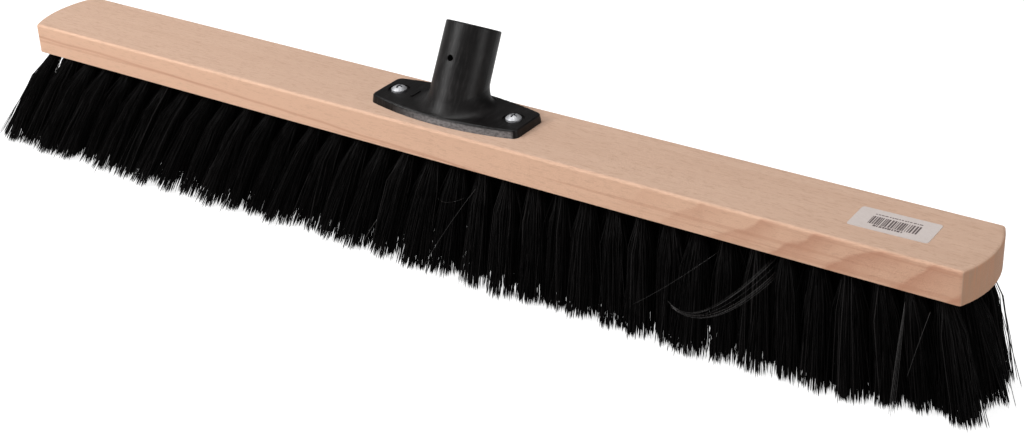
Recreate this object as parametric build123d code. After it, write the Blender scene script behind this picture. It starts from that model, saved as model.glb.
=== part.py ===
from build123d import *
import math
import os

# Push broom head: beech block, bristle tufts held by flat anchors, and a screwed-on handle socket.
#
# Frame: millimetres, +Z up. The tuft tips stand on z = 0, X runs along the block, and the handle
# socket leans towards +Y. The origin is under the middle of the block.

# ---------------------------------------------------------------- driving dimensions, block
BLOCK_LENGTH = 600.0
BLOCK_WIDTH = 50.0
BLOCK_THICK = 18.0
END_CROWN = 6.0  # how far each end bows out past its corners
CORNER_RADIUS = 2.0  # the four upright corners
TOP_ARRIS = 1.6  # rounding of the upper edges
BOTTOM_ARRIS = 0.5

# ---------------------------------------------------------------- driving dimensions, bristles
BRISTLE_REACH = 60.0  # block's underside to the trimmed tips
ROW_COUNT = 5
ROW_EDGE = 5.0  # outer row to the block's side
ROW_END = 14.0  # last tuft of a long row to the end of the block
TUFT_PITCH = 15.9  # wanted spacing along a row
TUFT_TIP_GAP = 0.7  # free space between neighbouring tufts at the tips
ROW_SPREAD = 1.5  # distance of a row from the middle, tips over roots
END_FLARE = 17.0  # how far the tips of the last tuft lean past its root
FLARE_LENGTH = 62.0  # stretch at each end over which the tufts lean
HOLE_DIAMETER = 7.0
HOLE_DEPTH = 10.0
STEM_PROUD = 0.2  # straight stem below the lowest edge of a leaning hole
FOLD_CHAMFER = 1.0  # shoulder of the folded bundle at the bottom of its hole
ANCHOR_HEIGHT = 2.2
ANCHOR_THICK = 0.4
ANCHOR_BITE = 1.2  # how far each end of an anchor is driven into the wood
FOLD_OVER = 1.6  # bundle that wraps over the anchor

# ---------------------------------------------------------------- driving dimensions, socket
FLANGE_LENGTH = 95.0
FLANGE_WIDTH = 38.4  # across the middle
FLANGE_END_WIDTH = 25.0
FLANGE_THICK = 4.5
FLANGE_CORNER = 4.0
FLANGE_DRAFT = 9.0  # degrees
FLANGE_ARRIS = 0.9
POCKET_DEPTH = 2.0  # moulding pocket under the flange
POCKET_WALL = 3.2
POCKET_CORNER = 2.4
HANDLE_TILT = 28.0  # degrees from upright
HANDLE_DIAMETER = 24.0
HANDLE_CLEARANCE = 0.1  # all round
TUBE_WALL = 2.9  # at the rim
TUBE_REACH = 47.0  # block's top to the rim, along the tube
TUBE_DRAFT = 0.4  # extra radius at the foot of the tube
TUBE_SETBACK = 1.5  # tube's axis from the flange's middle, at the block's top
RIM_ROUND = 0.8
BORE_FLOOR = 2.5  # least plastic left under the bore
SKIRT_RADIUS = 9.0  # hollow of the skirt that joins the tube to the flange
SKIRT_FRONT = 1.5  # how far the skirt runs out in front
SKIRT_BACK = 0.4
SKIRT_LEVELS = (0, 0.12, 0.3, 0.55, 1.0)  # sections of the hollow side, as shares of its height
SKIRT_TUCK = 0.25  # how far the skirt's top section lies inside the tube
LOCK_HOLE_DIAMETER = 3.5  # for a screw into the handle
LOCK_HOLE_HEIGHT = 27.5  # along the tube, from the block's top
TAG_LENGTH = 9.0  # plain raised bar left by the mould
TAG_WIDTH = 2.4
TAG_HEIGHT = 0.5
TAG_X = -26.5

# ---------------------------------------------------------------- driving dimensions, screws and label
SCREW_SPACING = 74.8
SCREW_SHANK = 4.0
SCREW_HEAD = 8.4
SCREW_HEAD_HEIGHT = 2.9
SCREW_HEAD_RIM = 1.1  # straight side of the head under its dome
SCREW_POINT = 2.5
SCREW_TIP_GAP = 0.5  # screw point to the depth of the tuft holes
SCREW_CLEARANCE = 0.3  # all round in the socket
SEAT_DIAMETER = 12.0
SEAT_DEPTH = 0.7
BOSS_WALL = 2.6  # plastic round each screw under the flange
CROSS_SPAN = 4.6
CROSS_WIDTH = 1.1
CROSS_DEPTH = 1.5
LABEL_LENGTH = 40.0
LABEL_WIDTH = 19.5
LABEL_THICK = 0.15
LABEL_CORNER = 1.6
LABEL_END = 49.5  # middle of the label to the end of the block
LABEL_TURN = 1.2  # degrees

# ---------------------------------------------------------------- worked out from the above
BLOCK_BOTTOM = BRISTLE_REACH
BLOCK_TOP = BLOCK_BOTTOM + BLOCK_THICK
HOLE_RADIUS = HOLE_DIAMETER / 2
ROW_GAP = (BLOCK_WIDTH - 2 * ROW_EDGE) / (ROW_COUNT - 1)
ROW_SPAN = BLOCK_LENGTH - 2 * ROW_END
PITCH = ROW_SPAN / round(ROW_SPAN / TUFT_PITCH)
LONG_ROW_TUFTS = round(ROW_SPAN / PITCH) + 1
NEAREST_TIPS = min(PITCH, math.hypot(PITCH / 2, ROW_GAP * ROW_SPREAD))
TIP_RADIUS = (NEAREST_TIPS - TUFT_TIP_GAP) / 2
BORE_RADIUS = HANDLE_DIAMETER / 2 + HANDLE_CLEARANCE
RIM_RADIUS = BORE_RADIUS + TUBE_WALL
FOOT_RADIUS = RIM_RADIUS + TUBE_DRAFT
TILT = math.radians(HANDLE_TILT)
TUBE_AXIS = Vector(0, math.sin(TILT), math.cos(TILT))
TUBE_FOOT = Vector(0, -TUBE_SETBACK, BLOCK_TOP)
BORE_START = (POCKET_DEPTH + BORE_FLOOR + BORE_RADIUS * math.sin(TILT)) / math.cos(TILT)
SEAT_HEIGHT = FLANGE_THICK - SEAT_DEPTH
SCREW_REACH = SEAT_HEIGHT + BLOCK_THICK - HOLE_DEPTH - SCREW_TIP_GAP
TUBE_PLANE = Plane(origin=TUBE_FOOT, x_dir=(1, 0, 0), z_dir=TUBE_AXIS)


# ---------------------------------------------------------------- where the tufts are
def row_middle(row):
    """Y of a row at the underside of the block. Row 0 is at the front."""
    return (row - (ROW_COUNT - 1) / 2) * ROW_GAP


def row_places(row):
    """X of each root in a row. Every other row is shifted by half a pitch."""
    count = LONG_ROW_TUFTS - row % 2
    return [(i - (count - 1) / 2) * PITCH for i in range(count)]


def tip_shift(x):
    """How far a tuft leans along X between its root and its tip."""
    into_flare = abs(x) - (ROW_SPAN / 2 - FLARE_LENGTH)
    share = max(0.0, into_flare / FLARE_LENGTH)
    return math.copysign(END_FLARE * share**2, x)


def tuft_plane(row, x):
    """Frame at the mouth of a hole, with its Z down the tuft and its X along the row."""
    y = row_middle(row)
    root = Vector(x, y, BLOCK_BOTTOM)
    tip = Vector(x + tip_shift(x), y * ROW_SPREAD, 0)
    along = (tip - root).normalized()
    across = Vector(1, 0, 0) - along * along.X
    return Plane(origin=root, x_dir=across, z_dir=along)


def every_tuft():
    return [tuft_plane(row, x) for row in range(ROW_COUNT) for x in row_places(row)]


# ---------------------------------------------------------------- one tuft and its anchor
def anchor_at(plane):
    """Flat wire driven across the bundle, deep in its hole."""
    length = HOLE_DIAMETER + 2 * ANCHOR_BITE
    middle = -HOLE_DEPTH + FOLD_OVER + ANCHOR_HEIGHT / 2
    return plane * Pos(0, 0, middle) * Box(length, ANCHOR_THICK, ANCHOR_HEIGHT)


def hole_at(plane):
    """Blind hole, run on a little below the block so that it cuts clean."""
    height = HOLE_DEPTH + HOLE_DIAMETER
    return plane * Pos(0, 0, height / 2 - HOLE_DEPTH) * Cylinder(HOLE_RADIUS, height)


def tuft_at(plane):
    """A folded bundle: a stem that fills its hole, then a flare down to the trim plane."""
    upright = -plane.z_dir.Z
    reach = BRISTLE_REACH / upright
    stem_end = STEM_PROUD + HOLE_RADIUS * math.sqrt(1 - upright**2) / upright
    past = 2 * TIP_RADIUS
    growth = (TIP_RADIUS - HOLE_RADIUS) / (reach - stem_end)
    outline = Polyline(
        (0, -HOLE_DEPTH),
        (HOLE_RADIUS - FOLD_CHAMFER, -HOLE_DEPTH),
        (HOLE_RADIUS, -HOLE_DEPTH + FOLD_CHAMFER),
        (HOLE_RADIUS, stem_end),
        (TIP_RADIUS + growth * past, reach + past),
        (0, reach + past),
        close=True,
    )
    bundle = revolve(Plane.XZ * make_face(outline), Axis.Z)
    bundle = split(plane * bundle, bisect_by=Plane.XY, keep=Keep.TOP)
    return bundle - anchor_at(plane)


def stretch_of(x):
    """The part of a row that a tuft belongs to: upright, or fanned out at one end."""
    if tip_shift(x) == 0:
        return "upright"
    return "left_fan" if x < 0 else "right_fan"


def row_planes(row, stretch):
    return [tuft_plane(row, x) for x in row_places(row) if stretch_of(x) == stretch]


# ---------------------------------------------------------------- wood block
def block_outline():
    """Straight long sides and bowed ends."""
    half_width = BLOCK_WIDTH / 2
    corner = BLOCK_LENGTH / 2 - END_CROWN
    end = BLOCK_LENGTH / 2
    lines = [
        Line((-corner, -half_width), (corner, -half_width)),
        ThreePointArc((corner, -half_width), (end, 0), (corner, half_width)),
        Line((corner, half_width), (-corner, half_width)),
        ThreePointArc((-corner, half_width), (-end, 0), (-corner, -half_width)),
    ]
    face = make_face(lines)
    return fillet(face.vertices(), CORNER_RADIUS)


def wood_block():
    block = Pos(0, 0, BLOCK_BOTTOM) * extrude(block_outline(), BLOCK_THICK)
    block = fillet(block.edges().group_by(Axis.Z)[-1], TOP_ARRIS)
    block = fillet(block.edges().group_by(Axis.Z)[0], BOTTOM_ARRIS)
    planes = every_tuft()
    block -= [hole_at(plane) for plane in planes]
    block -= [anchor_at(plane) for plane in planes]
    return block - [screw_shank(-1), screw_shank(1)]


# ---------------------------------------------------------------- screws
def screw_place(side):
    """Middle of the seat under a screw's head."""
    return Pos(side * SCREW_SPACING / 2, 0, BLOCK_TOP + SEAT_HEIGHT)


def screw_shank(side):
    radius = SCREW_SHANK / 2
    outline = Polyline(
        (0, 0),
        (radius, 0),
        (radius, -SCREW_REACH + SCREW_POINT),
        (0, -SCREW_REACH),
        close=True,
    )
    return screw_place(side) * revolve(Plane.XZ * make_face(outline), Axis.Z)


def screw_head():
    """Pan head: a short straight side under a dome."""
    radius = SCREW_HEAD / 2
    rise = SCREW_HEAD_HEIGHT - SCREW_HEAD_RIM
    dome_radius = (radius**2 + rise**2) / (2 * rise)
    middle = SCREW_HEAD_HEIGHT - dome_radius
    half_way = math.asin(radius / dome_radius) / 2
    over = (dome_radius * math.sin(half_way), middle + dome_radius * math.cos(half_way))
    lines = [
        Line((0, 0), (radius, 0)),
        Line((radius, 0), (radius, SCREW_HEAD_RIM)),
        ThreePointArc((radius, SCREW_HEAD_RIM), over, (0, SCREW_HEAD_HEIGHT)),
        Line((0, SCREW_HEAD_HEIGHT), (0, 0)),
    ]
    return revolve(Plane.XZ * make_face(lines), Axis.Z)


def cross_recess():
    """Two slots that narrow downwards."""
    slots = Rectangle(CROSS_SPAN, CROSS_WIDTH) + Rectangle(CROSS_WIDTH, CROSS_SPAN)
    floor = Pos(0, 0, SCREW_HEAD_HEIGHT - CROSS_DEPTH)
    return floor * extrude(slots, 2 * CROSS_DEPTH)


def screw(side):
    head = screw_head() - cross_recess()
    return screw_place(side) * head + screw_shank(side)


# ---------------------------------------------------------------- handle socket
def barrel_outline(inset, corner):
    """Plan of the flange: bowed long sides and short straight ends."""
    half = FLANGE_LENGTH / 2 - inset
    end = FLANGE_END_WIDTH / 2 - inset
    middle = FLANGE_WIDTH / 2 - inset
    lines = [
        ThreePointArc((-half, -end), (0, -middle), (half, -end)),
        Line((half, -end), (half, end)),
        ThreePointArc((half, end), (0, middle), (-half, end)),
        Line((-half, end), (-half, -end)),
    ]
    face = make_face(lines)
    return fillet(face.vertices(), corner)


def flange():
    plate = extrude(barrel_outline(0, FLANGE_CORNER), FLANGE_THICK, taper=FLANGE_DRAFT)
    plate = fillet(plate.edges().group_by(Axis.Z)[-1], FLANGE_ARRIS)
    return Pos(0, 0, BLOCK_TOP) * plate


def flange_pocket():
    """Hollow under the flange, with a boss left round each screw."""
    bosses = []
    for side in (-1, 1):
        place = Pos(side * SCREW_SPACING / 2, 0, 0)
        bosses.append(place * Circle(SCREW_SHANK / 2 + SCREW_CLEARANCE + BOSS_WALL))
    hollow = barrel_outline(POCKET_WALL, POCKET_CORNER) - bosses
    return Pos(0, 0, BLOCK_TOP) * extrude(hollow, POCKET_DEPTH)


def skirt_section(height):
    """One level section of the skirt, at a height above the flange's top."""
    run_out = SKIRT_RADIUS - math.sqrt(SKIRT_RADIUS**2 - (SKIRT_RADIUS - height) ** 2)
    share = run_out / SKIRT_RADIUS
    rise = FLANGE_THICK + height
    radius = FOOT_RADIUS - TUBE_DRAFT * rise / math.cos(TILT) / TUBE_REACH
    half_deep = radius / math.cos(TILT) + share * (SKIRT_FRONT + SKIRT_BACK) / 2
    middle = -TUBE_SETBACK + rise * math.tan(TILT) - share * (SKIRT_FRONT - SKIRT_BACK) / 2
    return Pos(0, middle, BLOCK_TOP + rise) * Ellipse(radius + run_out, half_deep)


def skirt():
    """Hollow-sided foot between flange and tube. Its top section lies just inside the tube."""
    sections = [skirt_section(SKIRT_RADIUS * share) for share in SKIRT_LEVELS]
    sections[-1] = offset(sections[-1], -SKIRT_TUCK)
    return loft(sections)


def tube():
    """Drafted tube, cut off level with the block's top. Its rim is rounded."""
    below = FOOT_RADIUS
    height = TUBE_REACH + below
    widen = TUBE_DRAFT * height / TUBE_REACH
    body = Cone(RIM_RADIUS + widen, RIM_RADIUS, height)
    body = fillet(body.edges().sort_by(Axis.Z)[-1], RIM_ROUND)
    body = TUBE_PLANE * Pos(0, 0, height / 2 - below) * body
    return split(body, bisect_by=Plane.XY.offset(BLOCK_TOP), keep=Keep.TOP)


def tube_bore():
    height = TUBE_REACH - BORE_START
    bore = TUBE_PLANE * Pos(0, 0, BORE_START + height / 2) * Cylinder(BORE_RADIUS, height)
    lead = Cone(BORE_RADIUS, BORE_RADIUS + RIM_ROUND, RIM_ROUND)
    return [bore, TUBE_PLANE * Pos(0, 0, TUBE_REACH - RIM_ROUND / 2) * lead]


def lock_hole():
    """Radial hole through the front wall of the tube."""
    length = 2 * FOOT_RADIUS
    hole = Rot(90, 0, 0) * Pos(0, 0, length / 2) * Cylinder(LOCK_HOLE_DIAMETER / 2, length)
    return TUBE_PLANE * Pos(0, 0, LOCK_HOLE_HEIGHT) * hole


def screw_cut(side):
    """Clearance hole and the recess that the head sits in."""
    radius = SCREW_SHANK / 2 + SCREW_CLEARANCE
    place = screw_place(side)
    hole = place * Cylinder(radius, 2 * FLANGE_THICK)
    seat = place * Pos(0, 0, FLANGE_THICK / 2) * Cylinder(SEAT_DIAMETER / 2, FLANGE_THICK)
    return [hole, seat]


def mould_tag():
    bar = Pos(TAG_X, 0, BLOCK_TOP + FLANGE_THICK) * Rot(0, 0, 90)
    return bar * extrude(SlotOverall(TAG_LENGTH, TAG_WIDTH), TAG_HEIGHT)


def handle_socket():
    body = flange() + skirt() + tube() + mould_tag()
    cuts = [flange_pocket(), lock_hole()] + tube_bore() + screw_cut(-1) + screw_cut(1)
    return body - cuts


# ---------------------------------------------------------------- label
def paper_label():
    place = Pos(BLOCK_LENGTH / 2 - LABEL_END, 0, BLOCK_TOP) * Rot(0, 0, LABEL_TURN)
    return place * extrude(RectangleRounded(LABEL_LENGTH, LABEL_WIDTH, LABEL_CORNER), LABEL_THICK)


# ---------------------------------------------------------------- write the parts
def write(name, shapes):
    group = shapes[0] if len(shapes) == 1 else Compound(children=shapes)
    group.label = name
    export_step(group, os.path.join("parts", name + ".step"))


os.makedirs("parts", exist_ok=True)
write("wood_block", [wood_block()])
write("handle_socket", [handle_socket()])
write("socket_screws", [screw(-1), screw(1)])
write("paper_label", [paper_label()])
for row in range(ROW_COUNT):
    for stretch in ("left_fan", "upright", "right_fan"):
        planes = row_planes(row, stretch)
        write(f"tufts_row_{row + 1}_{stretch}", [tuft_at(plane) for plane in planes])
        write(f"anchors_row_{row + 1}_{stretch}", [anchor_at(plane) for plane in planes])
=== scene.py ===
# %% [markdown]
# # A push broom head, finished in Blender
# The broom head is a beech block with rows of black bristle tufts below it and a black moulded
# handle socket screwed on top. The hard parts arrive as exact solids, and they keep their shape
# and place here: they only get their finish. The tufts arrive as plain cones, which hold the
# space for the collision model. Each cone is replaced by the hair that really fills it.
#
# The first three lines load those solids. Everything after them is placed from what they say.

# %% Load the solids
import math

import bpy
import numpy as np
from mathutils import Matrix, Vector


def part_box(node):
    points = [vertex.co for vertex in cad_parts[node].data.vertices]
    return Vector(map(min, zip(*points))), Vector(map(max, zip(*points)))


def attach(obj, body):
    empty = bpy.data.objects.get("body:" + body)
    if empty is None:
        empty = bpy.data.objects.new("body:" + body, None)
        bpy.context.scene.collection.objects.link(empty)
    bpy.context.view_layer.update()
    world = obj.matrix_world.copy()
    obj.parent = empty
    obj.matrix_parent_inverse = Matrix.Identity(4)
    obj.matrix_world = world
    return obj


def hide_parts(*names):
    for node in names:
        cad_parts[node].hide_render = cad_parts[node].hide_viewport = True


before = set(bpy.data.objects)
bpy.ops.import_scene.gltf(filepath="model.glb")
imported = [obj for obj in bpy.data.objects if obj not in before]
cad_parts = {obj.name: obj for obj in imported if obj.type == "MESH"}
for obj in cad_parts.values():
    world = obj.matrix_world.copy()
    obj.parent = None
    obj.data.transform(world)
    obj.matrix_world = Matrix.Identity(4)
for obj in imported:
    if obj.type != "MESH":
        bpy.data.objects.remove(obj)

bpy.context.view_layer.update()
block_low, block_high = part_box("wood_block")

# %% [markdown]
# ## The camera
# A long lens, 66 mm on a 36 mm sensor, keeps the long block from stretching towards the viewer.
# The camera could be aimed with a Track To constraint, but a constraint can't roll it. Three
# turns do it instead: roll about the line of sight, then pitch, then heading about the vertical.
# The camera looks down 28 degrees, over the right-hand end, and hangs under 3 degrees out of level.

# %% Camera
CAMERA_PLACE = Vector((0.5485, -0.7151, block_high.z + 0.420))
CAMERA_LENS = 65.81
CAMERA_HEADING = math.radians(35.77)
CAMERA_PITCH = math.radians(61.61)
CAMERA_ROLL = math.radians(-2.73)

camera = bpy.data.objects.new("camera", bpy.data.cameras.new("camera"))
camera.data.lens = CAMERA_LENS
camera.data.clip_start = 0.01
turn = Matrix.Rotation(CAMERA_HEADING, 4, "Z") @ Matrix.Rotation(CAMERA_PITCH, 4, "X")
roll = Matrix.Rotation(CAMERA_ROLL, 4, "Z")
camera.matrix_world = Matrix.Translation(CAMERA_PLACE) @ turn @ roll
bpy.context.collection.objects.link(camera)
bpy.context.scene.camera = camera
print("camera at", [round(value, 3) for value in CAMERA_PLACE])

# %% [markdown]
# ## Joining nodes
# A sky and a finish are both trees of small nodes. Made by hand, each node takes one line to
# create it and another for every socket. One helper does both, so a recipe stays short enough to
# read.

# %% One node
def add(tree, kind, sockets=(), **settings):
    """One more node. sockets pairs an input with a value or with the output that feeds it."""
    node = tree.nodes.new(kind)
    for key, value in settings.items():
        setattr(node, key, value)
    for socket, value in sockets:
        if isinstance(value, bpy.types.NodeSocket):
            tree.links.new(value, node.inputs[socket])
        else:
            node.inputs[socket].default_value = value
    return node


print("node helper ready")

# %% [markdown]
# ## A pale studio
# A product like this stands on white paper under large soft lamps. Small lamps would give hard
# shadows between the tufts, and a bright sky alone would light every face the same, so that the
# block loses its edges. So a white sky fills the shadows, a wide lamp on the left gives the front
# face its light, and a lamp overhead lifts the top. The right end is left a little darker, with
# one weak low lamp that draws a second highlight down the right side of the tube.
#
# The sky is dimmer behind the broom, as a studio is behind its white paper: black plastic mirrors
# whatever is behind it, and an even sky would turn it grey. Looked at directly, the sky is nearly
# as pale as the paper, so that no grey band stands behind the broom in a low view.
# The Standard view is chosen because white paper should come out white.

# %% The sky
SKY_IN_FRONT = 0.72
SKY_BEHIND = 0.05
SKY_SEEN = 0.92
WHITE = (1.0, 1.0, 1.0, 1.0)

bpy.context.scene.view_settings.view_transform = "Standard"
sky = bpy.data.worlds.new("white_sky")
bpy.context.scene.world = sky
sky.use_nodes = True
tree = sky.node_tree
background = tree.nodes["Background"]
background.inputs["Color"].default_value = WHITE
direction = add(tree, "ShaderNodeTexCoord").outputs["Generated"]
to_back = add(tree, "ShaderNodeSeparateXYZ", [(0, direction)]).outputs["Y"]
fade = add(tree, "ShaderNodeMapRange", [
    ("Value", to_back), ("From Min", -1.0), ("To Min", SKY_IN_FRONT), ("To Max", SKY_BEHIND)])
path = add(tree, "ShaderNodeLightPath").outputs["Is Camera Ray"]
strength = add(tree, "ShaderNodeMix", [
    ("Factor", path), ("A", fade.outputs["Result"]), ("B", SKY_SEEN)])
tree.links.new(strength.outputs["Result"], background.inputs["Strength"])
print("sky:", sky.name, "from", SKY_IN_FRONT, "in front to", SKY_BEHIND, "behind")

# %% Lamps and floor
# Each lamp's name, place, aim, side in metres and power in watts.
LAMPS = (
    ("left_lamp", (-0.70, -0.95, 0.78), (0, 0, 0.05), 0.6, 13),
    ("top_lamp", (-0.30, -0.1, 1.6), (0, 0, 0.05), 1.2, 19),
    ("right_lamp", (1.4, -0.1, 0.30), (0, 0, 0.08), 0.45, 5),
)
FLOOR_SIDE = 12.0


def soft_lamp(name, place, aim, side, power):
    """A square area lamp at a place, turned to face a point."""
    lamp = bpy.data.objects.new(name, bpy.data.lights.new(name, "AREA"))
    lamp.data.size = side
    lamp.data.energy = power
    lamp.location = place
    lamp.rotation_euler = (Vector(aim) - Vector(place)).to_track_quat("-Z", "Y").to_euler()
    bpy.context.collection.objects.link(lamp)


for lamp in LAMPS:
    soft_lamp(*lamp)

half = FLOOR_SIDE / 2
floor_corners = [(-half, -half, 0), (half, -half, 0), (half, half, 0), (-half, half, 0)]
floor_mesh = bpy.data.meshes.new("floor")
floor_mesh.from_pydata(floor_corners, [], [(0, 1, 2, 3)])
floor = bpy.data.objects.new("floor", floor_mesh)
bpy.context.collection.objects.link(floor)

# %% [markdown]
# ## Making a material
# Every finish here is built from the same few moves: start a Principled shader, read a place on
# the solid, stretch a noise along the grain, turn it into a tone, and lay one tone over another by
# a share. Doing that by hand is dozens of lines a finish, so small helpers do it. Numbers that are
# even all over a surface go straight onto the shader, and only what varies comes through nodes.
# The solids are in metres, so a scale of 1000 means a pattern about a millimetre across.

# %% Colours and shaders
def tone(red, green, blue):
    """A colour as the eye reads it, 0 to 255, turned into the light it stands for."""
    steps = [value / 255 for value in (red, green, blue)]
    light = [step / 12.92 if step <= 0.04045 else ((step + 0.055) / 1.055) ** 2.4 for step in steps]
    return (*light, 1.0)


def start_material(name, colour, roughness, **even):
    """A named material with a Principled shader whose even values are set on its own sockets."""
    material = bpy.data.materials.new(name)
    material.use_nodes = True
    shader = material.node_tree.nodes["Principled BSDF"]
    shader.inputs["Base Color"].default_value = colour
    shader.inputs["Roughness"].default_value = roughness
    for socket, value in even.items():
        shader.inputs[socket.replace("_", " ")].default_value = value
    return material, material.node_tree, shader


def finish_node(names, material):
    """Put a material on carried-over solids, by name."""
    for name in names:
        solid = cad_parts[name]
        solid.data.materials.clear()
        solid.data.materials.append(material)


print("shader helpers ready")

# %% Places, noises and sums
def place_on(tree):
    """The place on the object, in metres."""
    return add(tree, "ShaderNodeTexCoord").outputs["Object"]


def split(tree, vector):
    """A vector's x, y and z."""
    return add(tree, "ShaderNodeSeparateXYZ", [(0, vector)]).outputs


def reckon(tree, operation, *numbers, clamp=False):
    """One sum on up to three numbers, or on the outputs that feed them."""
    return add(tree, "ShaderNodeMath", enumerate(numbers),
               operation=operation, use_clamp=clamp).outputs[0]


def times(tree, first, second):
    """Two shares multiplied, kept between 0 and 1."""
    return reckon(tree, "MULTIPLY", first, second, clamp=True)


def plus(tree, first, second):
    """Two shares added, kept between 0 and 1."""
    return reckon(tree, "ADD", first, second, clamp=True)


def minus(tree, first, second):
    """One share less another, kept between 0 and 1."""
    return reckon(tree, "SUBTRACT", first, second, clamp=True)


def ramp(tree, value, low, high):
    """A number stretched so that low becomes 0 and high becomes 1."""
    return add(tree, "ShaderNodeMapRange", [
        ("Value", value), ("From Min", low), ("From Max", high)], clamp=True).outputs["Result"]


def noise(tree, place, scale, detail):
    """Plain noise of one size all over, from 0 to 1."""
    return add(tree, "ShaderNodeTexNoise", [
        ("Vector", place), ("Scale", scale), ("Detail", detail)]).outputs["Fac"]


def speckle(tree, scale, low, high, detail=3.0, shift=(0, 0, 0)):
    """Noise stretched by a scale along each axis, cut to 0 below low and to 1 above high."""
    spread = add(tree, "ShaderNodeMapping", [
        ("Vector", place_on(tree)), ("Scale", scale), ("Location", shift)])
    grains = add(tree, "ShaderNodeTexNoise", [
        ("Vector", spread.outputs[0]), ("Scale", 1.0), ("Detail", detail), ("Roughness", 0.6)])
    return ramp(tree, grains.outputs["Fac"], low, high)


print("pattern helpers ready")

# %% Laying patterns on a shader
def mix(tree, share, under, over):
    """One colour over another by a share from 0 to 1."""
    return add(tree, "ShaderNodeMix", [(0, share), (6, under), (7, over)],
               data_type="RGBA", blend_type="MIX").outputs[2]


def paint(tree, shader, base, *layers):
    """Colour a shader with a base and then each layer's colour over it, by the layer's share."""
    colour = base
    for share, over in layers:
        colour = mix(tree, share, colour, over)
    tree.links.new(colour, shader.inputs["Base Color"])
    return colour


def vary(tree, shader, socket, share, low, high):
    """Let a socket run from low to high as a share runs from 0 to 1."""
    spread = add(tree, "ShaderNodeMapRange", [
        ("Value", share), ("To Min", low), ("To Max", high)])
    tree.links.new(spread.outputs["Result"], shader.inputs[socket])


def raise_surface(tree, shader, height, depth):
    """Bump the surface by a height pattern that is depth metres deep."""
    bump = add(tree, "ShaderNodeBump", [("Height", height), ("Distance", depth), ("Strength", 1.0)])
    tree.links.new(bump.outputs["Normal"], shader.inputs["Normal"])


print("layer helpers ready")

# %% [markdown]
# ## The floor's finish
# White paper has a faint tooth. It is nearly plain, so the shadow under the bristles is what shows.
# The paper glows a little, so that it comes out white. Seen directly it glows more than it lights
# the broom, because a bright floor would be mirrored all over the black plastic.

# %% White paper
GLOW_ON_BROOM = 0.30
GLOW_SEEN = 0.85

paper, tree, shader = start_material("studio_paper", WHITE, 0.9, Specular_IOR_Level=0.1)
tooth = speckle(tree, (400, 400, 400), 0.3, 0.7)
paint(tree, shader, mix(tree, tooth, tone(150, 150, 150), tone(154, 154, 154)))
shader.inputs["Emission Color"].default_value = WHITE
path = add(tree, "ShaderNodeLightPath").outputs["Is Camera Ray"]
vary(tree, shader, "Emission Strength", path, GLOW_ON_BROOM, GLOW_SEEN)
floor.data.materials.append(paper)
print("floor:", paper.name)

# %% [markdown]
# ## Beech
# Steamed beech is pale pink-brown. Looked at closely it has three marks: long faint streaks that
# follow the grain, short darker flecks where the rays come to the surface, and, on a face sawn
# through the growth rings, wide reddish flames. The block here is straight-grained along its
# length. Its long sides are a little redder than its top. They darken towards the right, where
# the flames are too. Its ends show end grain, which drinks more oil and light and so looks darker,
# with upright streaks.
#
# An image would tile and blur. The three marks are instead three noises at their real sizes, and
# the direction that a face points in says which of them it shows. On an arris the surface points
# both up and out, so the product of those two picks out the edges, which get a painted highlight:
# a slightly paler tone.

# %% Where a face points
def facing(tree):
    """How far the surface points along the length, across it, and up, each from 0 to 1."""
    normal = add(tree, "ShaderNodeNewGeometry").outputs["Normal"]
    return [reckon(tree, "ABSOLUTE", part) for part in split(tree, normal)]


print("face finder ready")

# %% [markdown]
# The flames are a saw-tooth wave: each starts at a hard slanting line, where one year's ring ends,
# and fades until the next. They lean 1.5 mm along the block for each millimetre of height, and
# come every 30 mm. Noise bends the lines, or they would look ruled.

# %% Flames on the long sides
FLAME_PITCH = 0.030
FLAME_LEAN = 1.5
FLAME_WANDER = 0.030
FLAMES_START = 0.110
FLAMES_GROW = 0.10


def flames(tree, across):
    """Reddish bands on the long sides, towards the right end."""
    place = place_on(tree)
    x, y, z = split(tree, place)
    slant = reckon(tree, "MULTIPLY_ADD", z, -FLAME_LEAN, x)
    bent = reckon(tree, "MULTIPLY_ADD", noise(tree, place, 40.0, 3.0), FLAME_WANDER, slant)
    tooth = reckon(tree, "FRACT", reckon(tree, "DIVIDE", bent, FLAME_PITCH))
    fade = minus(tree, 1.0, ramp(tree, tooth, 0.05, 0.75))
    band = times(tree, fade, ramp(tree, tooth, 0.0, 0.10))
    towards_right = ramp(tree, x, FLAMES_START, FLAMES_START + FLAMES_GROW)
    return times(tree, band, times(tree, towards_right, ramp(tree, across, 0.55, 0.9)))


print("flame pitch", FLAME_PITCH)

# %% [markdown]
# One thin dark growth line runs the whole length of the long sides as well, lower at the right
# than at the left. A drawn line would be dead straight, so it is the place where a slowly wavering
# height meets one level, which gives a line that wanders like a real ring.

# %% One growth line
LINE_LEVEL = block_high.z - 0.0125
LINE_SINK = 0.035
LINE_WAVER = 0.008
LINE_CORE = 0.0003
LINE_EDGE = 0.0010


def ring_line(tree, across):
    """One thin growth line on the long sides, which sinks from left to right and wavers."""
    place = place_on(tree)
    x, y, z = split(tree, place)
    level = reckon(tree, "MULTIPLY_ADD", x, LINE_SINK, z)
    bent = reckon(tree, "MULTIPLY_ADD", noise(tree, place, 9.0, 2.0), LINE_WAVER, level)
    gap = reckon(tree, "ABSOLUTE", reckon(tree, "SUBTRACT", bent, LINE_LEVEL))
    return times(tree, minus(tree, 1.0, ramp(tree, gap, LINE_CORE, LINE_EDGE)), across)


print("growth line at", round(LINE_LEVEL, 4))

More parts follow.
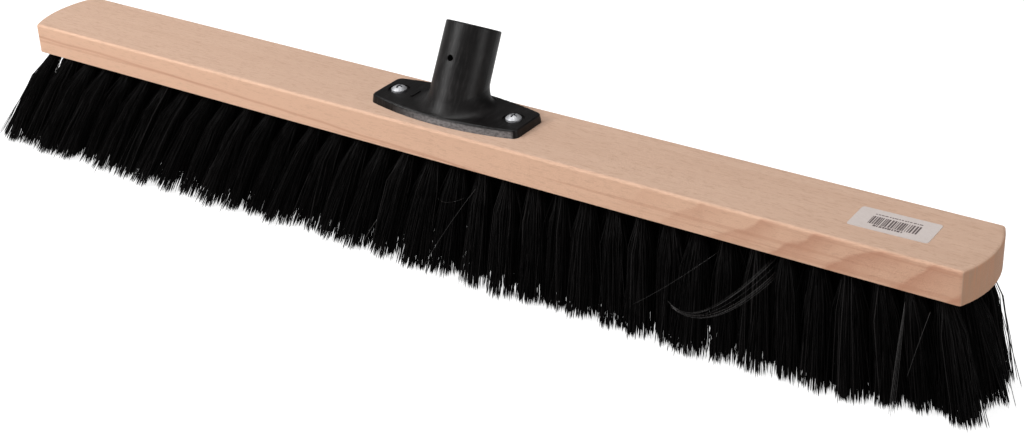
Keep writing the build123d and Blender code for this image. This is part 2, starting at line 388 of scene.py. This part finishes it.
# %% Beech patterns
beech, tree, shader = start_material("oiled_beech", WHITE, 0.6, Specular_IOR_Level=0.3)
along, across, up = facing(tree)
end_grain = ramp(tree, along, 0.6, 0.85)
streaks = speckle(tree, (9, 300, 300), 0.25, 0.75, detail=5.0)
lines = speckle(tree, (3, 90, 420), 0.60, 0.68, detail=1.0, shift=(4, 1, 7))
flecks = speckle(tree, (210, 1300, 1300), 0.52, 0.66, detail=3.0)
pores = speckle(tree, (900, 5200, 5200), 0.5, 0.62, detail=2.0)
end_streaks = speckle(tree, (300, 900, 45), 0.35, 0.65)
right_part = ramp(tree, split(tree, place_on(tree))["X"], 0.17, 0.29)
arris = times(tree, times(tree, across, up), 1.7)
print("beech patterns:", len(tree.nodes), "nodes")

# %% Beech on the block
BEECH_PALE = tone(193, 163, 143)
BEECH_MID = tone(184, 152, 131)
BEECH_SIDE = tone(212, 169, 141)
BEECH_FLECK = tone(160, 128, 105)
BEECH_FLAME = tone(166, 112, 86)
BEECH_END = tone(174, 127, 98)
BEECH_ARRIS_HIGHLIGHT = tone(206, 180, 158)
GRAIN_DEPTH = 0.00012

fleck_share = minus(tree, 0.42, times(tree, across, 0.2))
# The arris gets a painted highlight: a paler tone along the edges, kept off the end grain.
arris_highlight = times(tree, arris, minus(tree, 1.0, end_grain))
paint(tree, shader, mix(tree, streaks, BEECH_MID, BEECH_PALE),
      (times(tree, across, 0.75), BEECH_SIDE),
      (times(tree, times(tree, lines, across), 0.25), BEECH_FLAME),
      (times(tree, ring_line(tree, across), 0.4), BEECH_FLAME),
      (times(tree, flecks, fleck_share), BEECH_FLECK),
      (times(tree, pores, 0.12), BEECH_FLECK),
      (times(tree, flames(tree, across), 0.6), BEECH_FLAME),
      (times(tree, times(tree, right_part, across), 0.3), BEECH_FLAME),
      (end_grain, mix(tree, end_streaks, BEECH_END, BEECH_FLECK)),
      (times(tree, arris_highlight, 0.1), BEECH_ARRIS_HIGHLIGHT))
vary(tree, shader, "Roughness", streaks, 0.52, 0.66)
grain = plus(tree, times(tree, flecks, 0.5), times(tree, pores, 0.5))
raise_surface(tree, shader, minus(tree, 1.0, grain), GRAIN_DEPTH)
finish_node(["wood_block"], beech)
print("beech nodes:", len(tree.nodes))

# %% [markdown]
# ## Moulded plastic
# The socket is black polypropylene, moulded in a tool with a fine spark finish. It is never quite
# black: the finish catches light as a broad grey sheen. Handling leaves paler rubbed streaks along
# it, and on what faces the front they are made paler still as a painted highlight. The front rim
# of the flange carries a grainy grey painted reflection of the pale floor. A glossy coat would be
# wrong, so the shine is in a middling roughness that varies from patch to patch, over a bump a few
# hundredths of a millimetre deep.

# %% Rubbing and painted light on the socket
PLATE_THICK = 0.0045
RIM_START = 0.0004
RIM_FULL = 0.0016
RIM_REFLECTION_START = -0.030
RIM_REFLECTION_FULL = -0.005

plate_top = block_high.z + PLATE_THICK
plastic, tree, shader = start_material("black_plastic", WHITE, 0.4, Specular_IOR_Level=0.14)
x, y, z = split(tree, place_on(tree))
across = facing(tree)[1]
rubs = speckle(tree, (900, 160, 90), 0.5, 0.75, detail=4.0, shift=(3, 0, 5))
# Rubbed streaks all over, with a share that rises on faces pointing to the front: there it is a
# painted highlight.
rub_wear_and_front_highlight = plus(tree, 0.12, times(tree, ramp(tree, across, 0.75, 1.0), 0.33))
# The flange's front rim, from a little left of the middle on to the right, gets a painted
# reflection of the pale floor, made grainy by fine noise.
below_rim = ramp(tree, z, plate_top - RIM_START, plate_top - RIM_FULL)
rim = times(tree, below_rim, ramp(tree, across, 0.8, 0.95))
rim_reflection_span = times(tree, rim, ramp(tree, x, RIM_REFLECTION_START, RIM_REFLECTION_FULL))
reflection_grain = speckle(tree, (500, 700, 900), 0.38, 0.62, detail=5.0)
painted_rim_reflection = times(tree, rim_reflection_span, plus(tree, 0.4, times(tree, reflection_grain, 0.6)))
print("wear_and_painted_light:", len(tree.nodes), "nodes")

# %% Black plastic on the socket
PLASTIC_DARK = tone(11, 10, 10)
PLASTIC_LIGHT = tone(20, 18, 18)
PLASTIC_RUB_AND_HIGHLIGHT = tone(84, 81, 81)
PLASTIC_FLOOR_REFLECTION = tone(128, 125, 125)
SPARK_DEPTH = 0.00003

patches = speckle(tree, (60, 60, 60), 0.35, 0.7, detail=4.0)
# Over plain black: rubbed streaks carrying the painted front highlight, then the painted floor
# reflection on the rim.
paint(tree, shader, mix(tree, patches, PLASTIC_DARK, PLASTIC_LIGHT),
      (times(tree, rubs, rub_wear_and_front_highlight), PLASTIC_RUB_AND_HIGHLIGHT),
      (times(tree, painted_rim_reflection, 0.85), PLASTIC_FLOOR_REFLECTION))
vary(tree, shader, "Roughness", patches, 0.28, 0.40)
raise_surface(tree, shader, speckle(tree, (2600, 2600, 2600), 0.3, 0.7, detail=2.0), SPARK_DEPTH)
finish_node(["handle_socket"], plastic)
print("plastic nodes:", len(tree.nodes))

# %% [markdown]
# ## Plated screws and staple wire
# Zinc plate is a bright grey metal with a milky gloss. A polished mirror would look like chrome,
# so the roughness wanders above a half and the colour has faint cloudy patches. The same recipe,
# smoother, does for the flat wire anchors that hold the bristle at the bottom of each hole.
#
# The cross in a real screw head is dark, because little light reaches its floor. The cross is cut
# in the solid, but it is only millimetres deep and soft light fills it. So whatever lies below the
# dome's surface and near the screw's axis is shaded. The dome drops with the square of the way out
# from its axis, so adding that drop back gives one level that the surface of the dome keeps.

# %% Zinc and wire
def plated(name, bright, dull, low, high):
    """A cloudy plated metal between two tones and two roughnesses."""
    material, tree, shader = start_material(name, bright, low, Metallic=1.0)
    clouds = speckle(tree, (700, 700, 700), 0.3, 0.7, detail=4.0)
    colour = paint(tree, shader, mix(tree, clouds, dull, bright))
    vary(tree, shader, "Roughness", clouds, high, low)
    raise_surface(tree, shader, speckle(tree, (4000, 4000, 4000), 0.3, 0.7), 0.00001)
    return material, tree, shader, colour


zinc, tree, shader, zinc_colour = plated(
    "bright_zinc", tone(192, 192, 194), tone(160, 161, 165), 0.56, 0.72)
wire = plated("anchor_wire", tone(190, 188, 184), tone(140, 138, 134), 0.3, 0.5)[0]
finish_node(["socket_screws"], zinc)
finish_node([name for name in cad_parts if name.startswith("anchors_")], wire)
print("metals:", zinc.name, wire.name)

# %% The dark cross in each screw head
HEAD_RADIUS = 0.0042
CROSS_REACH = 0.0024
CROSS_FADE = 0.0002
DOME_CURVE = 105.0
SHADE_START = 0.00005
SHADE_FULL = 0.00045
CROSS_SHADE = tone(70, 70, 74)

screw_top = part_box("socket_screws")[1].z
screw_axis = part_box("socket_screws")[1].x - HEAD_RADIUS
x, y, z = split(tree, place_on(tree))
off_axis = reckon(tree, "SUBTRACT", reckon(tree, "ABSOLUTE", x), screw_axis)
spot = add(tree, "ShaderNodeCombineXYZ", [(0, off_axis), (1, y)]).outputs[0]
away = add(tree, "ShaderNodeVectorMath", [(0, spot)], operation="LENGTH").outputs["Value"]
near = ramp(tree, away, CROSS_REACH + CROSS_FADE, CROSS_REACH)
level = reckon(tree, "MULTIPLY_ADD", reckon(tree, "MULTIPLY", away, away), DOME_CURVE, z)
below = ramp(tree, level, screw_top - SHADE_START, screw_top - SHADE_FULL)
paint(tree, shader, zinc_colour, (times(tree, times(tree, near, below), 0.8), CROSS_SHADE))
print("screws stand", round(screw_axis * 2000, 1), "mm apart")

# %% [markdown]
# ## Paper label
# A printed price label sits near the right end. Its paper is a thin solid of its own. What is
# printed on it is made here as raised ink, a few hundredths of a millimetre thick: a row of plain
# bars of uneven width, with plain grey strokes above and below where a real label has words.
# None of it can be read, and the bars stand for nothing.

# %% Label paper
label_paper, tree, shader = start_material("label_paper", WHITE, 0.5, Specular_IOR_Level=0.3)
fibres = speckle(tree, (900, 2400, 900), 0.3, 0.7, detail=4.0)
stain = speckle(tree, (60, 60, 60), 0.45, 0.8)
paint(tree, shader, mix(tree, fibres, tone(180, 170, 166), tone(190, 181, 177)),
      (times(tree, stain, 0.3), tone(168, 156, 148)))
raise_surface(tree, shader, fibres, 0.00002)
finish_node(["paper_label"], label_paper)
print("label paper nodes:", len(tree.nodes))

# %% One block of ink
LABEL_TURN = math.radians(1.2)
INK_THICK = 0.00004
BLOCK_FACES = ((3, 2, 1, 0), (4, 5, 6, 7), (0, 1, 5, 4), (1, 2, 6, 5), (2, 3, 7, 6), (3, 0, 4, 7))

label_low, label_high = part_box("paper_label")
label_middle = (label_low + label_high) / 2


def ink_box(corners, faces, x, y, wide, tall):
    """Add one thin block of ink, centred at x, y on the label, to two growing lists."""
    first = len(corners)
    for z in (label_high.z, label_high.z + INK_THICK):
        for side_x, side_y in ((-1, -1), (1, -1), (1, 1), (-1, 1)):
            corner = Vector((x + side_x * wide / 2, y + side_y * tall / 2, 0))
            corner.rotate(Matrix.Rotation(LABEL_TURN, 3, "Z"))
            corners.append((label_middle.x + corner.x, label_middle.y + corner.y, z))
    faces += [[first + index for index in face] for face in BLOCK_FACES]


print("label middle:", [round(value, 4) for value in label_middle])

# %% Bars and strokes
BAR_ROW = 0.0235
BAR_Y = -0.0006
BAR_HEIGHT = 0.0076
BAR_PITCH = 0.00062
# Each row of strokes: its left and right ends, its middle height and how tall it is.
STROKE_ROWS = (
    (-0.0115, 0.0105, 0.0052, 0.0007),
    (-0.0085, 0.0065, -0.0056, 0.0014),
)


def stroke_row(corners, faces, chance, left, right, y, tall):
    """A line of short strokes, as a line of words looks from a step away."""
    x = left
    while x < right:
        wide = chance.uniform(0.0006, 0.0018)
        ink_box(corners, faces, x + wide / 2, y, wide, tall)
        x += wide + chance.uniform(0.0003, 0.0007)


chance = np.random.default_rng(11)
corners, faces = [], []
bar_x = -BAR_ROW / 2
while bar_x < BAR_ROW / 2:
    bar = BAR_PITCH * chance.choice([0.5, 0.9, 1.4])
    ink_box(corners, faces, bar_x + bar / 2, BAR_Y, bar, BAR_HEIGHT)
    bar_x += bar + BAR_PITCH * chance.choice([0.5, 0.8, 1.2])
for row in STROKE_ROWS:
    stroke_row(corners, faces, chance, *row)
print("ink blocks:", len(faces) // len(BLOCK_FACES))

# %% Ink on the label
ink, tree, shader = start_material("label_ink", WHITE, 0.6, Specular_IOR_Level=0.2)
thin_spots = speckle(tree, (2500, 2500, 2500), 0.4, 0.8)
paint(tree, shader, mix(tree, thin_spots, tone(70, 60, 60), tone(120, 108, 106)))
print_mesh = bpy.data.meshes.new("label_print")
print_mesh.from_pydata(corners, [], faces)
print_mesh.materials.append(ink)
label_print = bpy.data.objects.new("label_print", print_mesh)
bpy.context.collection.objects.link(label_print)
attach(label_print, "root")
print("label print faces:", len(print_mesh.polygons))

# %% [markdown]
# ## Where each tuft stands
# A tuft is folded in half, driven into a blind hole and held by a flat anchor. So all of its hair
# leaves the block through one small round hole and spreads out on the way down. The plain cones
# say where: their top faces are the holes, and their flat undersides are the tips. Copying those
# places by hand would break as soon as the block changed, so they are read off the cones.
#
# A cone's faces aren't joined into one skin, so each patch is found by its reach along the block:
# edges whose stretches of x overlap belong to the same tuft.

# %% Read the cones
TIP_BAND = 0.0001
ROOT_BAND = 0.0010


def patches_along(mesh, low, high):
    """The box of each separate patch of mesh between two heights, in order along the block."""
    points = np.empty(len(mesh.vertices) * 3)
    mesh.vertices.foreach_get("co", points)
    points = points.reshape(-1, 3)
    ends = np.empty(len(mesh.edges) * 2, dtype=int)
    mesh.edges.foreach_get("vertices", ends)
    pairs = points[ends.reshape(-1, 2)]
    inside = ((pairs[:, :, 2] >= low) & (pairs[:, :, 2] <= high)).all(axis=1)
    pairs = pairs[inside]
    order = np.argsort(pairs[:, :, 0].min(axis=1))
    found = []
    for pair in pairs[order]:
        if found and pair[:, 0].min() <= found[-1][1][0]:
            found[-1][0] = np.minimum(found[-1][0], pair.min(axis=0))
            found[-1][1] = np.maximum(found[-1][1], pair.max(axis=0))
        else:
            found.append([pair.min(axis=0), pair.max(axis=0)])
    return np.array(found)


tuft_nodes = sorted(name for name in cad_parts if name.startswith("tufts_row_"))
tufts = {}
for name in tuft_nodes:
    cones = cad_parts[name].data
    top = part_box(name)[1].z
    tips = patches_along(cones, -TIP_BAND, TIP_BAND)
    roots = patches_along(cones, top - ROOT_BAND, top)
    tufts[name] = (roots, tips)
print("tufts:", {name: len(roots) for name, (roots, tips) in tufts.items()})

# %% [markdown]
# ## How the hair leans
# New hair stands straight below its hole. This head has been packed lying against its left end,
# so the hair of the left half sweeps to the left by up to half its length, the middle stands
# upright and the right end flares outwards. The rows also spread across the broom, a little wider
# than the cones do, except at the right end, where they are drawn together. And the rows behind
# lean a few millimetres to the front, where they close the gaps between the front tufts.
#
# A lean that changes along the block is a curve with one value for each place, so a few
# listed points and a straight line between them do it.

# %% Lean along the block
PLACES = (-0.29, -0.19, -0.06, 0.01, 0.06, 0.20, 0.29)
SWEEP_BY = (-0.034, -0.032, -0.021, -0.004, 0.005, 0.007, 0.015)
SPLAY_BY = (1.07, 1.12, 1.12, 1.12, 1.12, 1.08, 0.64)
LEAN_BY = (0.003, 0.003, 0.003, 0.003, 0.004, 0.005, 0.004)
FRONT_ROW = -0.020
TUFT_JITTER = 0.0014


def along_block(x, values):
    """A value at x, read between the values at the listed places."""
    return float(np.interp(x, PLACES, values))


def tip_middle(chance, root_x, root_y, tip_y):
    """Where the middle of a tuft's tips comes to lie, each tuft a little off its neighbours."""
    lean = along_block(root_x, LEAN_BY) * (root_y - FRONT_ROW) / (-2 * FRONT_ROW)
    x = root_x + along_block(root_x, SWEEP_BY)
    y = tip_y * along_block(root_x, SPLAY_BY) - lean
    return np.array([x, y]) + chance.normal(0, TUFT_JITTER, 2)


print("sweep at the ends:", SWEEP_BY[0], SWEEP_BY[-1])

# %% [markdown]
# ## One tuft of hair
# Blender's own hair system draws strands well but leaves nothing solid behind, and a carved cone
# with a bumpy surface has no loose ends. Here each hair is a real three-sided rod, and a tuft is
# some hundreds of them. A rod keeps most of its thickness and comes to a point only in its last
# few hundredths. A hair that thins all the way down fades from sight, and the tuft looks too short.
#
# A bundle looks like hair, and not like a fan of wires, because of five things. The hairs fill the
# hole evenly at the root. They cling together in small locks towards the tip. They bow, each by
# its own amount. They don't all end at the same height. And a few of them stray sideways. Each is
# a line or two of the sums below.

# %% Points down one hair
RING_PLACES = (0.0, 0.3, 0.65, 0.965, 1.0)
ROOT_SINK = 0.0015
SPREAD_EASE = 0.85
BOW_PEAK = 6.75


def hair_points(start, end, bow, short):
    """Points down each hair from the hole to its tip, bowed sideways, ending short of the floor."""
    top = block_low.z + ROOT_SINK
    lines = np.empty((len(start), len(RING_PLACES), 3))
    for ring, part in enumerate(RING_PLACES):
        straight = start + (end - start) * part ** SPREAD_EASE
        lines[:, ring, :2] = straight + bow * part * (1 - part) ** 2 * BOW_PEAK
        lines[:, ring, 2] = top - (top - short) * part
    return lines


print("rings to a hair:", len(RING_PLACES))

# %% Hair in one tuft
ROOT_RADIUS = 0.0033
LOCKS = 9
LOCK_PULL = 0.32
FLARE_JITTER = 0.0014
TIP_FLARE = 1.3
LOOSE_SHARE = 0.07
LOOSE_LEAN = 0.004
LOCK_SHORT = 0.0007
HAIR_SHORT = 0.0006
MOST_SHORT = 0.007


def disc(chance, count):
    """Points spread evenly over a disc of radius 1."""
    angle = chance.uniform(0, 2 * math.pi, count)
    radius = np.sqrt(chance.uniform(0, 1, count))
    return radius[:, None] * np.stack([np.cos(angle), np.sin(angle)], axis=1)


def tuft_lines(chance, root, tip, count, bush):
    """Middle lines of the hairs of a tuft, with a point at each ring."""
    hole = (root[0] + root[1])[:2] / 2
    reach = (tip[1] - tip[0])[:2] / 2
    middle = tip_middle(chance, hole[0], hole[1], (tip[0][1] + tip[1][1]) / 2)
    seat = disc(chance, count)
    locks = disc(chance, LOCKS)
    nearest = np.argmin(((seat[:, None] - locks[None]) ** 2).sum(axis=2), axis=1)
    spread = seat * (1 - LOCK_PULL) + locks[nearest] * LOCK_PULL
    spread = spread * reach * TIP_FLARE + chance.normal(0, FLARE_JITTER, (count, 2))
    lock_short = chance.exponential(LOCK_SHORT, LOCKS)[nearest]
    short = np.minimum(lock_short + chance.exponential(HAIR_SHORT, count), MOST_SHORT)
    end = middle + spread
    loose = chance.uniform(0, 1, count) < LOOSE_SHARE
    end[:, 0] += loose * chance.normal(0, LOOSE_LEAN, count)
    bow = chance.normal(0, bush, (count, 2))
    return hair_points(hole + seat * ROOT_RADIUS, end, bow, short)


print("locks to a tuft:", LOCKS)

# %% [markdown]
# A line becomes a rod by putting three points round it at each ring and closing the end in a
# single point. The points for every hair in a piece are worked out together with arrays, because
# a loop over fifty thousand hairs in plain Python takes minutes.

# %% Rods from lines
HAIR_TAPER = 0.25


def rod_faces(rings):
    """The triangles of one rod: a closed root, bands between the rings, and a pointed tip."""
    pattern = [(2, 1, 0)]
    for ring in range(rings - 2):
        for corner in range(3):
            a, b = ring * 3 + corner, ring * 3 + (corner + 1) % 3
            pattern += [(a, b, b + 3), (a, b + 3, a + 3)]
    last = (rings - 2) * 3
    point = last + 3
    return pattern + [(last + corner, last + (corner + 1) % 3, point) for corner in range(3)]


def rods(lines, radius, chance):
    """Points and faces of closed three-sided rods that taper along their lines."""
    count, rings = lines.shape[:2]
    turn = chance.uniform(0, 2 * math.pi, count)
    thick = radius * chance.uniform(0.8, 1.2, count)
    sides = []
    for corner in range(3):
        angle = turn + corner * 2 * math.pi / 3
        sides.append(np.stack([np.cos(angle), np.sin(angle), 0 * angle], axis=1) * thick[:, None])
    taper = 1 - HAIR_TAPER * np.linspace(0, 1, rings)
    points = []
    for ring in range(rings - 1):
        points += [lines[:, ring] + side * taper[ring] for side in sides]
    points.append(lines[:, -1])
    per_hair = len(points)
    points = np.stack(points, axis=1).reshape(-1, 3)
    first = np.arange(count)[:, None, None] * per_hair
    faces = (np.array(rod_faces(rings))[None] + first).reshape(-1, 3)
    return points, faces, per_hair


print("triangles to a hair:", len(rod_faces(len(RING_PLACES))))

# %% A piece of many hairs
def hair_piece(name, lines, radius, chance, material):
    """One mesh object of many hairs, with a tone of its own for each hair."""
    points, faces, per_hair = rods(lines, radius, chance)
    mesh = bpy.data.meshes.new(name)
    mesh.vertices.add(len(points))
    mesh.vertices.foreach_set("co", points.ravel())
    mesh.loops.add(faces.size)
    mesh.loops.foreach_set("vertex_index", faces.ravel())
    mesh.polygons.add(len(faces))
    mesh.polygons.foreach_set("loop_start", np.arange(len(faces)) * 3)
    mesh.update(calc_edges=True)
    shade = mesh.attributes.new("hair_tone", "FLOAT", "POINT")
    shade.data.foreach_set("value", np.repeat(chance.uniform(0, 1, len(lines)), per_hair))
    mesh.materials.append(material)
    piece = bpy.data.objects.new(name, mesh)
    bpy.context.collection.objects.link(piece)
    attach(piece, "root")
    return piece


print("hair maker ready")

# %% [markdown]
# ## Black bristle
# The hair is black with a soft sheen, and here and there a greyer one. Each hair carries a number
# of its own, so the material can turn it into a tone without a texture. The bristle's gloss is
# kept low: a bundle of rods catches light from every side, and full gloss turns the tufts grey.

# %% Bristle finish
def bristle(name, dark, light, roughness, gloss):
    """Hair between two tones, picked for each hair."""
    material, tree, shader = start_material(name, dark, roughness, Specular_IOR_Level=gloss)
    own = add(tree, "ShaderNodeAttribute", attribute_name="hair_tone").outputs["Fac"]
    dust = speckle(tree, (300, 300, 60), 0.45, 0.75)
    paint(tree, shader, mix(tree, ramp(tree, own, 0.8, 1.0), dark, light),
          (times(tree, dust, 0.12), light))
    raise_surface(tree, shader, speckle(tree, (3000, 3000, 200), 0.3, 0.7), 0.00003)
    return material


black_bristle = bristle("black_bristle", tone(4, 3, 3), tone(29, 27, 27), 0.45, 0.06)
pale_bristle = bristle("pale_bristle", tone(40, 38, 38), tone(84, 81, 80), 0.35, 0.35)
print("bristle:", black_bristle.name, pale_bristle.name)

# %% [markdown]
# The outer rows are the ones that show, so they get more hair than the inner ones, and their hair
# bows less. The fanned tufts at the two ends stand further apart at their tips, and they get more
# hair again, or the light would show through them. Each piece has a seed of its own, so that a
# change to one row leaves the others as they are.

# %% Rows of tufts
HAIR_RADIUS = 0.00024
OUTER_HAIRS = 280
INNER_HAIRS = 250
FAN_FILL = 1.7
OUTER_BUSH = 0.0014
INNER_BUSH = 0.0034
FIRST_SEED = 100
TIP_LIFT = 0.0002

rows = sorted({name.split("_")[2] for name in tuft_nodes})
hairs_made = 0
for order, name in enumerate(tuft_nodes):
    chance = np.random.default_rng(FIRST_SEED + order)
    outer = name.split("_")[2] in (rows[0], rows[-1])
    fan = "fan" in name
    count = OUTER_HAIRS if outer else INNER_HAIRS
    if fan:
        count = int(count * FAN_FILL)
    bush = OUTER_BUSH if outer or fan else INNER_BUSH
    lines = np.concatenate([
        tuft_lines(chance, root, tip, count, bush) for root, tip in zip(*tufts[name])])
    lines[:, -1, 2] = np.maximum(lines[:, -1, 2], TIP_LIFT)
    piece = hair_piece(
        name.replace("tufts", "bristles"), lines, HAIR_RADIUS, chance, black_bristle)
    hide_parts(name)
    hairs_made += len(lines)
print("hairs:", hairs_made)

# %% [markdown]
# ## Stray hairs
# A few hairs escape on every brush, and they do more for the look than thousands of neat ones.
# Each is one curve through three given points, in millimetres, in front of the front row:
# some are straight and catch the light, a small bunch arcs out to the right of the middle, and
# one paler lock hangs near the right end.

# %% Strays
STRAYS = (
    ((38, -37, 58), (20, -41, 31), (2, -41, 2), 1),
    ((-27, -40, 24), (-33, -42, 14), (-40, -42, 2), 1),
    ((13, -37, 46), (22, -39, 47), (32, -37, 52), 1),
    ((153, -40, 28), (177, -43, 32), (206, -30, 63), 5),
    ((155, -40, 25), (182, -43, 31), (207, -30, 55), 5),
    ((133, -40, 20), (157, -43, 41), (178, -32, 60), 1),
    ((284, -34, 59), (281, -39, 42), (277, -39, 24), 1),
    ((271, -32, 59), (273, -40, 33), (272, -41, 2), 7),
)
STRAY_RINGS = 12
STRAY_RADIUS = 0.00013
STRAY_WOBBLE = 0.0011


def stray_lines(chance):
    """Middle lines of the stray hairs: a smooth curve through each one's three points."""
    share = np.linspace(0, 1, STRAY_RINGS + 1)[:, None]
    lines = []
    for *stops, copies in STRAYS:
        start, middle, end = (np.array(stop) / 1000 for stop in stops)
        pull = 2 * middle - (start + end) / 2
        for copy in range(copies):
            wobble = chance.normal(0, STRAY_WOBBLE, 3) if copy else np.zeros(3)
            lines.append((1 - share) ** 2 * start + 2 * share * (1 - share) * (pull + wobble)
                         + share ** 2 * (end + wobble))
    return np.array(lines)


strays = hair_piece("stray_hairs", stray_lines(np.random.default_rng(5)), STRAY_RADIUS,
                    np.random.default_rng(6), pale_bristle)
print("stray hair faces:", len(strays.data.polygons))

# %% [markdown]
# ## Close the scene
# The scene's placements are brought up to date.

# %% Update
bpy.context.view_layer.update()
